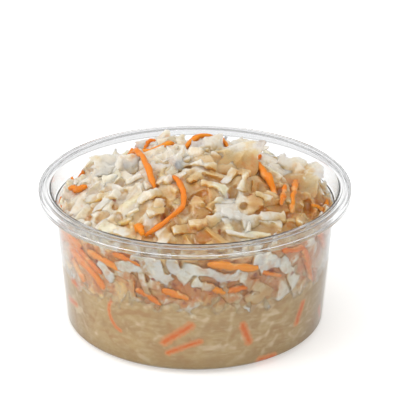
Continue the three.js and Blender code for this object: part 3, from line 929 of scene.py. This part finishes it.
MOUND_SHREDS = [
    (
        2.3,
        [(-14.5, -20, -0.4), (-17.2, -11, 1.6), (-20, -1, 3), (-22.4, 6, 3.4), (-24.6, 8.6, 1.4)],
    ),
    (2.0, [(-8.5, -17.2, 0.4), (-5, -24, 1.6), (-4, -32, 1.6), (-8.5, -38, 1.2), (-18, -42, 0.4)]),
    (1.9, [(-4, 9, -0.6), (1, 12.5, 1.6), (6.7, 14.5, 2.8), (10.5, 13, 2.2), (12.4, 8.5, 0.4)]),
    (2.6, [(20.5, -1.5, 0), (24.8, -7.4, 1.6), (27.8, -12.5, 1.6), (29.5, -18, 0)]),
    (2.2, [(37.3, -2, 1.4), (37, -10, 1.8), (36, -17, 1.4), (35.4, -23, 0.2)]),
    (2.6, [(-47.5, 6, 0.6), (-44, 1, 1.2), (-40.5, -5, 1.0)]),
    (1.8, [(-48.4, -11.2, 0.5), (-46.3, -15.5, 0.6)]),
    (1.6, [(-20, 21, 0.6), (-15, 19.5, 1.4)]),
    (1.6, [(20, 9, 0.8), (25, 10, 0.8)]),
    (1.8, [(43, -15, 0.6), (47.4, -10.7, 0.8), (49.5, -3, 0.6)]),
    (2.0, [(33.2, -12.8, 0.6), (32.5, -18, 0.9), (31.4, -23, 0.4)]),
    (2.6, [(-21, -35.5, 0.9), (-18.5, -42.5, 0.5)]),
]
MORE_MOUND_SHREDS = 7
BED_CUTS = 1700
TOP_CUTS = 700
LAST_CUTS = 250


def mound_height(x, y):
    """Height of the heap over a point: a dome with hummocks, lower on the left and behind."""
    share = np.minimum(np.hypot(x, y) / MOUND_EDGE, 1)
    dome = MOUND_TOP + (SHELF_HEIGHT - MOUND_TOP) * share ** MOUND_POWER
    left = 1.6 * np.clip(-x / MOUND_EDGE, 0, 1) ** 1.5
    behind = 1.8 * np.exp(-(((x - 24) / 14) ** 2) - ((y - 22) / 16) ** 2)
    broad = np.sin(0.31 * x + 1.7 * np.sin(0.13 * y)) * np.cos(0.27 * y + 0.9)
    small = np.sin(0.52 * x + 1.3 * np.sin(0.2 * y + 1))
    small = small * np.sin(0.55 * y + 1.1 * np.cos(0.23 * x))
    return dome - left - behind + (0.9 * broad + 1.0 * small) * (1 - share ** 4)


class Mound(Ground):
    """The heap's dome as the surface that slaw builds up from, fenced in by the wall."""

    def __init__(self, half_width):
        super().__init__((-half_width, -half_width), (half_width, half_width), wraps=False)
        x, y = np.indices(self.shape) * CELL + CELL / 2
        x, y = x + self.low[0], y + self.low[1]
        self.form = mound_height(x, y)
        self.outside = np.hypot(x, y) > MOUND_EDGE - FENCE
        self.top = np.where(self.outside, OUT_OF_REACH, self.form - BED)

    def slope(self, x, y):
        xs = np.array([x + SLOPE_STEP, x - SLOPE_STEP, x, x])
        ys = np.array([y, y, y + SLOPE_STEP, y - SLOPE_STEP])
        near = mound_height(xs, ys)
        normal = Vector((near[1] - near[0], near[3] - near[2], 2 * SLOPE_STEP))
        return np.array(Vector((0, 0, 1)).rotation_difference(normal).to_matrix())

    def level(self, cells):
        """The slaw's height, its gaps and peaks evened out over a square of cells either way."""
        heights = np.where(self.outside, self.form, self.top)
        padded = np.pad(heights, cells, mode="edge")
        total = np.zeros(self.shape)
        for i in range(2 * cells + 1):
            for j in range(2 * cells + 1):
                total += padded[i:i + self.shape[0], j:j + self.shape[1]]
        return total / (2 * cells + 1) ** 2


mound = Mound(53)
mound_bed = Scatter("bed_of_the_mound", mound)
top_slaw = Scatter("cabbage_on_top", mound)
leaf_slaw = Scatter("leaf_scraps", mound)
carrots_on_mound = Scatter("carrots_on_the_mound", mound)


def over_the_mound():
    """A random place over the mound, evenly spread."""
    radius = (MOUND_EDGE - 1) * math.sqrt(rng.uniform())
    turn = rng.uniform(0, 2 * math.pi)
    return radius * math.cos(turn), radius * math.sin(turn)


def mostly_behind():
    """A random place over the mound, three times as often in its back half."""
    x, y = over_the_mound()
    return x, abs(y) if rng.uniform() < 0.5 else y


def lay_on_mound(width, places):
    """Lays a carrot shred over the mound through x, y and rise, on what lies there already."""
    thick = LOOSE_SHRED * width
    route = smooth_route(places)
    form = mound_height(route[:, 0], route[:, 1])
    felt = np.clip(mound.top[mound.cells(route)], form - 1, form + 2.2)
    window = np.ones(2 * EVENED + 1) / (2 * EVENED + 1)
    felt = np.convolve(np.pad(felt, EVENED, mode="edge"), window, mode="valid")
    route[:, 2] += felt + thick * 0.3
    carrots_on_mound.add(along(route, width, thick), straight.faces)


def keep_inside(corners):
    """Pulls corners in until they clear the wall."""
    limit = reach(np.minimum(corners[:, 2], SHELF_HEIGHT + 2)) - 0.1
    share = np.minimum(limit / np.hypot(corners[:, 0], corners[:, 1]), 1)
    return corners * np.stack([share, share, np.ones(len(share))], axis=1)


strew(mound_bed, BED_CUTS, over_the_mound, tilt=0.6, over=1.6, tries=8, coats=(-0.15, 0.2))
for _ in range(MORE_MOUND_SHREDS):
    x, y = over_the_mound()
    y = 10 + 0.7 * abs(y)
    heading, length, turn = rng.uniform(0, 2 * math.pi), rng.uniform(7, 18), rng.uniform(-1.6, 1.6)
    places = []
    for share in np.linspace(-0.5, 0.5, 4):
        way = heading + turn * share
        spot = np.array((x + share * length * math.cos(way), y + share * length * math.sin(way)))
        spot *= min(1, (MOUND_EDGE - 2) / np.hypot(*spot))
        places.append((*spot, rng.uniform(-0.3, 0.5)))
    width = rng.uniform(1.5, 2.3)
    lay_on_mound(width, places)
strew(mound_bed, TOP_CUTS, over_the_mound, tilt=0.7, over=3.0, tries=4, coats=(-0.2, 0.2))
for index, leaf in enumerate(LEAVES):
    kind = {**LEAF, "length": [leaf["length"]] * 2, "width": [leaf["width"]] * 2}
    bit = chopped(kind, 61 + index, wave=0.9, cup=0.012, ragged=1.0)
    x, y, rise = leaf["place"]
    turned = Euler((math.radians(leaf["lean"]), 0, 0)).to_matrix()
    turned = Euler((0, 0, math.radians(leaf["heading"]))).to_matrix() @ turned
    corners = bit.corners @ np.array(turned).T + (x, y, mound_height(x, y) + rise)
    # Dressing and painted shade brown each leaf towards its lower edge; its upper edge stays white
    # as if lit.
    lower_edge_shade = 0.9 - 1.6 * bit.corners[:, 1] / leaf["width"]
    leaf_slaw.add(keep_inside(corners), bit.faces, tone=0.4, coat=leaf["coat"] * lower_edge_shade)
for width, places in MOUND_STRIPS:
    for start, end in zip(places, places[1:]):
        x, y = (np.array(start) + end)[:2] / 2
        felt = mound.top[mound.cells(np.array((x, y)))]
        felt = min(max(felt, mound_height(x, y) - 1), mound_height(x, y) + 2)
        set_down(
            top_slaw, width + WIDER, rng.uniform(1.5, 2.3), start, end,
            felt + 0.2 + start[2] / 3, lean=rng.normal(0, 0.25), coat=rng.uniform(-0.25, 0.2),
        )
for width, places in MOUND_SHREDS:
    lay_on_mound(width, places)
strew(top_slaw, LAST_CUTS, mostly_behind, tilt=0.6, over=3.0, tries=3, coats=(-0.25, 0.15))

# ---- Cabbage ----
# All is laid now. The bed is a core with the cuts that lie deepest, melted into one skin, and the
# cuts that show singly are melted where they meet, with their creases filled by dressing. It wets
# them brown, most in the pools and at the wall, and carrot stains what lies near it. Painted shade
# browns them as well: in the crevices, where cuts meet the bed, on faces turned from the light, to
# the front right and in painted hollow shadows.

# How far the core lies under the slaw's surface, and how lumpy it is.
FILL = 1.6
LUMPS = 0.6
CORE_FROM_WALL = 1.5
CORE_FOOT = 22
CORE_SHOULDER = 44.5
CORE_STEPS = 320
MELTED_TO = 0.38
# How far carrot stains, how far up from the bed dressing clings to a cut and painted contact shade
# reaches, and how thickly there, and how far in from the plastic the slaw counts as lying at the
# wall.
STAINS_AS_FAR = 3.0
DRESSING_AND_SHADE_REACH = 1.6
DRESSING_AND_SHADE_NEAR_BED = 0.32
WALL_ZONE = 7
# Each spot is x, y, how wide and how deep. On the wall, degrees round and height stand for x, y.
POOLS = [
    (-11, -32, 4.7, 0.6), (6, -8, 7.7, 0.4), (3, -25, 5.1, 0.55), (18, -15, 6.0, 0.4),
    (34, -17, 6.0, 0.4), (43, -10, 5.1, 0.35), (-25, -36, 6.8, 0.6), (2, -41, 10.0, 0.45),
    (24, -27, 3.8, 0.3), (-16, -13, 3.4, 0.3), (-34, -15, 4.7, 0.45),
]
BARE = [
    (-34, 6, 7.7, 0.4), (-22, -22, 5.1, 0.5), (-6, 3, 5.6, 0.45), (-15, -1, 3.4, 0.4),
    (3, -13, 2.6, 0.6), (10, -25, 4.3, 0.5), (17, -21, 3.0, 0.6), (12, -35, 6.4, 0.4),
    (30, 11, 5.6, 0.5), (-16, -33, 3.0, 0.4), (-3, -36, 3.4, 0.3), (20, -38, 5.6, 0.3),
]
# Hollows are painted shadows: dark red-brown spots where the gaps between cuts would lie in shade.
HOLLOW_SHADOWS = [
    (-11, -34, 1.5, 1.0), (-8, -33, 1.1, 0.9), (8, -22, 1.3, 0.8), (13, -23.5, 1.6, 0.6),
    (9, -40.5, 1.0, 0.8), (24.5, -31, 1.5, 0.7), (33.5, -34, 1.4, 0.8), (3.5, -36.5, 1.2, 0.6),
    (-29.5, -20, 1.6, 0.5), (20, -23, 1.2, 0.7), (40, -20, 1.5, 0.6),
]
# The same painted shadows, in the gaps between the cuts at the wall.
WALL_HOLLOW_SHADOWS = [
    (9.4, 35, 2.2, 1.0), (33, 37.8, 2.6, 0.9), (-24, 44.5, 2.0, 0.8), (21, 33.7, 1.2, 0.8),
    (-3.7, 29.6, 1.4, 0.7), (-13.5, 29.8, 1.2, 0.7), (-30, 33.7, 1.4, 0.6), (5.5, 29.4, 1.2, 0.7),
    (14, 38, 1.6, 0.7), (-8, 37, 1.6, 0.7), (-45, 40, 2.0, 0.7), (44, 35, 1.8, 0.6),
    (-17, 38.5, 1.2, 0.8), (26, 38.5, 1.4, 0.7), (0, 34.4, 1.2, 0.6), (-36, 31.5, 1.4, 0.6),
]

core_outline = [(0, CORE_FOOT), (reach(CORE_FOOT) - CORE_FROM_WALL, CORE_FOOT)]
core_outline += [(reach(z) - CORE_FROM_WALL, z) for z in np.linspace(24, 44, 20)]
core_outline += [(r, SHELF_HEIGHT) for r in np.linspace(MOUND_EDGE - CORE_FROM_WALL, 0, 70)]
bed = spun("cabbage_bed", core_outline, CORE_STEPS)
level = mound.level(2)
for vertex in bed.data.vertices:
    place = vertex.co / MM
    lumps = noise.noise(place / 3.6) + 0.6 * noise.noise(place / 1.6)
    if place.z > CORE_SHOULDER:
        cell = mound.cells(np.array(place))
        place.z = level[cell] - FILL + LUMPS * lumps
    else:
        place += Vector((place.x, place.y, 0)).normalized() * lumps * LUMPS
    vertex.co = place * MM
for scatter in (mound_bed, wall_bed):
    scatter.joined().select_set(True)
bed.select_set(True)
bpy.context.view_layer.objects.active = bed
bpy.ops.object.join()
bed.select_set(False)


def melted(piece, softened, kept, filled):
    """One skin round a piece's overlapping cuts, their creases filled as dressing fills them."""
    apply(piece, "DISPLACE", strength=filled * MM, mid_level=0)
    apply(piece, "REMESH", mode="VOXEL", voxel_size=MELTED_TO * MM)
    apply(piece, "SMOOTH", factor=0.5, iterations=softened)
    apply(piece, "DISPLACE", strength=-filled * MM, mid_level=0)
    apply(piece, "DECIMATE", ratio=kept)
    inside = keep_inside(corners_of(piece))
    piece.data.vertices.foreach_set("co", inside.ravel() * MM)
    piece.data.polygons.foreach_set("use_smooth", [True] * len(piece.data.polygons))


melted(bed, softened=4, kept=0.28, filled=0.75)


def tree_of(places):
    """The places as a tree that finds the nearest one fast."""
    tree = KDTree(len(places))
    for index, place in enumerate(places):
        tree.insert(place, index)
    tree.balance()
    return tree


carrot_tree = tree_of(np.concatenate(carrots_at_wall.corners + carrots_on_mound.corners)[::3])
even_level = mound.level(5)
bed_tree = tree_of([vertex.co / MM for vertex in bed.data.vertices])


def spread(places, spots, tall=1.8):
    """How far each place lies in the spots given as x, y, reach and depth, each a soft oval."""
    total = np.zeros(len(places))
    for x, y, wide, deep in spots:
        away = ((places[:, 0] - x) / wide) ** 2 + ((places[:, 1] - y) / wide / tall) ** 2
        total += deep * np.exp(-away)
    return total


def dressed_and_shaded(piece, *scatters):
    """Writes each corner's tone, how much dressing and painted shade brown it, how stained by
    carrot it is, and how dark its painted hollow shadows are.
    """
    mesh = piece.data

    def of_its_cuts(what):
        return np.concatenate([part for scatter in scatters for part in getattr(scatter, what)])

    its_cuts = tree_of(of_its_cuts("corners"))
    nearest = [its_cuts.find(vertex.co / MM)[1] for vertex in mesh.vertices]
    tones, coats = of_its_cuts("tones")[nearest], of_its_cuts("coats")[nearest]
    if piece != bed:
        # Where a cut nears the bed, dressing and painted contact shade brown it.
        sunk_in = np.array([bed_tree.find(vertex.co / MM)[2] for vertex in mesh.vertices])
        coats += DRESSING_AND_SHADE_NEAR_BED * np.clip(1 - sunk_in / DRESSING_AND_SHADE_REACH, 0, 1)
    places, normals = corners_of(piece), np.empty(len(mesh.vertices) * 3)
    mesh.vertex_normals.foreach_get("vector", normals)
    normals = normals.reshape(-1, 3)
    radius = np.hypot(places[:, 0], places[:, 1])
    depth = wall_inside(places[:, 2]) - radius
    by_wall = (places[:, 2] < SHELF_HEIGHT) & (depth < WALL_ZONE)

    # On top, dressing browns it in pools. Painted shade browns it low in the crevices, on steep
    # faces turned from the light overhead, and most at the front right.
    under = (even_level[mound.cells(places)] - places[:, 2]) / 3.5
    under += (places[:, 0] - 0.8 * places[:, 1]) / 70
    on_top = 0.55 * under + 0.22 * (1 - normals[:, 2])
    on_top += spread(places, POOLS)
    on_top -= spread(places, BARE)

    # At the wall, dressing and painted shade brown it away from the plastic and on faces turned
    # from it, and more so lower down.
    facing = (normals[:, :2] * places[:, :2]).sum(axis=1) / np.maximum(radius, 1)
    behind = 0.2 + (depth - 0.5) / 3 + (SHELF_HEIGHT - places[:, 2]) / 60
    wet_and_shade = np.where(by_wall, behind + 0.5 * (1 - facing), on_top)

    near = np.array([carrot_tree.find(place)[2] for place in places])
    stained = np.clip(1 - near / STAINS_AS_FAR + by_wall * (0.8 + (depth - 0.5) * 0.4), 0, 1)
    # Hollow shadows are painted dark, and at the wall more the further in from the plastic, as
    # painted shade.
    degrees = np.degrees(np.arctan2(places[:, 0], -places[:, 1]))
    hollow_shadow_at_wall = spread(np.stack([degrees, places[:, 2]], 1), WALL_HOLLOW_SHADOWS, 0.7)
    hollow_shadow_at_wall += 0.25 * np.clip(depth - 1, 0, 1)
    hollow_shadow = np.where(by_wall, hollow_shadow_at_wall, spread(places, HOLLOW_SHADOWS) * (piece == bed))
    wet_and_shade = np.clip(wet_and_shade + coats, 0, 1)
    write_looks(piece, {"tone": tones, "wet_and_shade": wet_and_shade, "stained": stained, "hollow_shadow": hollow_shadow})


# The cabbage's own colour is milky, on some cuts whiter and on a few greenish. Dressing turns it
# beige, then amber and brown where it lies thickest; painted shade does the same in crevices and
# on faces turned from the light. Carrot's stain and the painted hollow shadows come last.
cabbage = Finish("dressed cabbage")
tone = cabbage.attribute("tone")
wet_and_shade = cabbage.attribute("wet_and_shade")
fibres = cabbage.noise(1.4, detail=3)
milky = cabbage.mix(tone.between(0.1, 0.9), (0.77, 0.715, 0.62), (0.77, 0.69, 0.545))
# The strips at the wall, with a tone below zero, are whiter: partly painted light, as less light
# reaches them through the plastic.
milky = cabbage.mix(tone.between(-0.6, -0.1), (0.93, 0.83, 0.67), milky)
greenish = cabbage.mix(tone.between(0.93, 0.98) * 0.5, milky, (0.74, 0.68, 0.41))
flecks = cabbage.noise(1.0, detail=2)
clinging_and_shade = wet_and_shade + 0.5 * cabbage.noise(2.6, detail=3) + 0.3 * flecks + 0.8 * cabbage.noise(8) - 0.75
white_dressed_and_shaded = cabbage.mix(clinging_and_shade.between(0.0, 0.5), greenish, (0.66, 0.465, 0.235))
# Painted light: the amber is lighter on the left, where the light falls, and darker on the right.
rightward = cabbage.node("SeparateXYZ", {"Vector": cabbage.here}, output="X")
amber = cabbage.mix(rightward.between(-28 * MM, 4 * MM), (0.88, 0.56, 0.21), (0.57, 0.32, 0.095))
white_dressed_and_shaded = cabbage.mix(clinging_and_shade.between(0.4, 0.9), white_dressed_and_shaded, amber)
white_dressed_and_shaded = cabbage.mix(clinging_and_shade.between(0.9, 1.2), white_dressed_and_shaded, (0.58, 0.23, 0.04))
stain = cabbage.attribute("stained") * (0.4 + 0.6 * clinging_and_shade.between(0.0, 0.6))
stain = 0.6 * stain + 1.7 * cabbage.noise(3.2, detail=3) - 0.8
stained_white = cabbage.mix(stain.between(0.1, 0.9) * 0.85, white_dressed_and_shaded, (0.58, 0.19, 0.022))
hollow_shadow = cabbage.attribute("hollow_shadow") + 1.2 * cabbage.noise(1.5, detail=3) - 0.6
cabbage_material = cabbage.done(
    cabbage.surface(
        Base_Color=cabbage.mix(hollow_shadow.between(0.3, 0.7) * 0.9, stained_white, (0.34, 0.075, 0.01)),
        Roughness=0.18 + 0.25 * fibres,
        Normal=cabbage.relief(fibres + 0.4 * cabbage.noise(0.7), 0.16),
        Subsurface_Weight=1.0,
        Subsurface_Radius=(1.0, 0.93, 0.8),
        Subsurface_Scale=0.005,
        Coat_Roughness=0.1,
        Coat_Weight=0.6,
    )
)
dressed_and_shaded(bed, mound_bed, wall_bed)
cabbage_pieces = [bed]
for scatter, softened, kept, filled in (
    (wall_slaw, 1, 0.8, 0.1), (top_slaw, 3, 0.6, 0.4), (leaf_slaw, 3, 0.6, 0.2)
):
    piece = scatter.joined()
    melted(piece, softened, kept, filled)
    dressed_and_shaded(piece, scatter)
    cabbage_pieces.append(piece)
for piece in cabbage_pieces:
    piece.data.materials.append(cabbage_material)
    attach(piece, "root")
    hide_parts("coleslaw")

# ---- Carrot ----
# Grated shreds, bright orange with a paler grain, and dulled where dressing clings to them. They
# lie at the wall and over the mound, and keep their own smooth skin.

carrot = Finish("carrot")
carrot_tone = carrot.attribute("tone")
grain = carrot.noise(0.9, detail=3)
orange = carrot.mix(carrot_tone, (0.78, 0.19, 0.004), (0.92, 0.31, 0.011))
orange = carrot.mix(grain.between(0.5, 0.8) * 0.25, orange, (0.95, 0.57, 0.095))
coated = (carrot.noise(4.0, detail=3) + 0.3 * carrot.attribute("wet_and_shade")).between(0.65, 0.9) * 0.45
carrot_material = carrot.done(
    carrot.surface(
        Base_Color=carrot.mix(coated, orange, (0.95, 0.78, 0.41)),
        Roughness=0.25 + 0.2 * grain,
        Normal=carrot.relief(grain, 0.12),
        Subsurface_Weight=0.3,
        Subsurface_Radius=(1.0, 0.4, 0.15),
        Subsurface_Scale=0.0015,
        Specular_IOR_Level=0.3,
        Coat_Roughness=0.12,
        Coat_Weight=0.1,
    )
)
for scatter in (carrots_at_wall, carrots_on_mound):
    piece = scatter.joined()
    dressed_and_shaded(piece, scatter)
    piece.data.materials.append(carrot_material)
    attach(piece, "root")
    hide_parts("coleslaw")
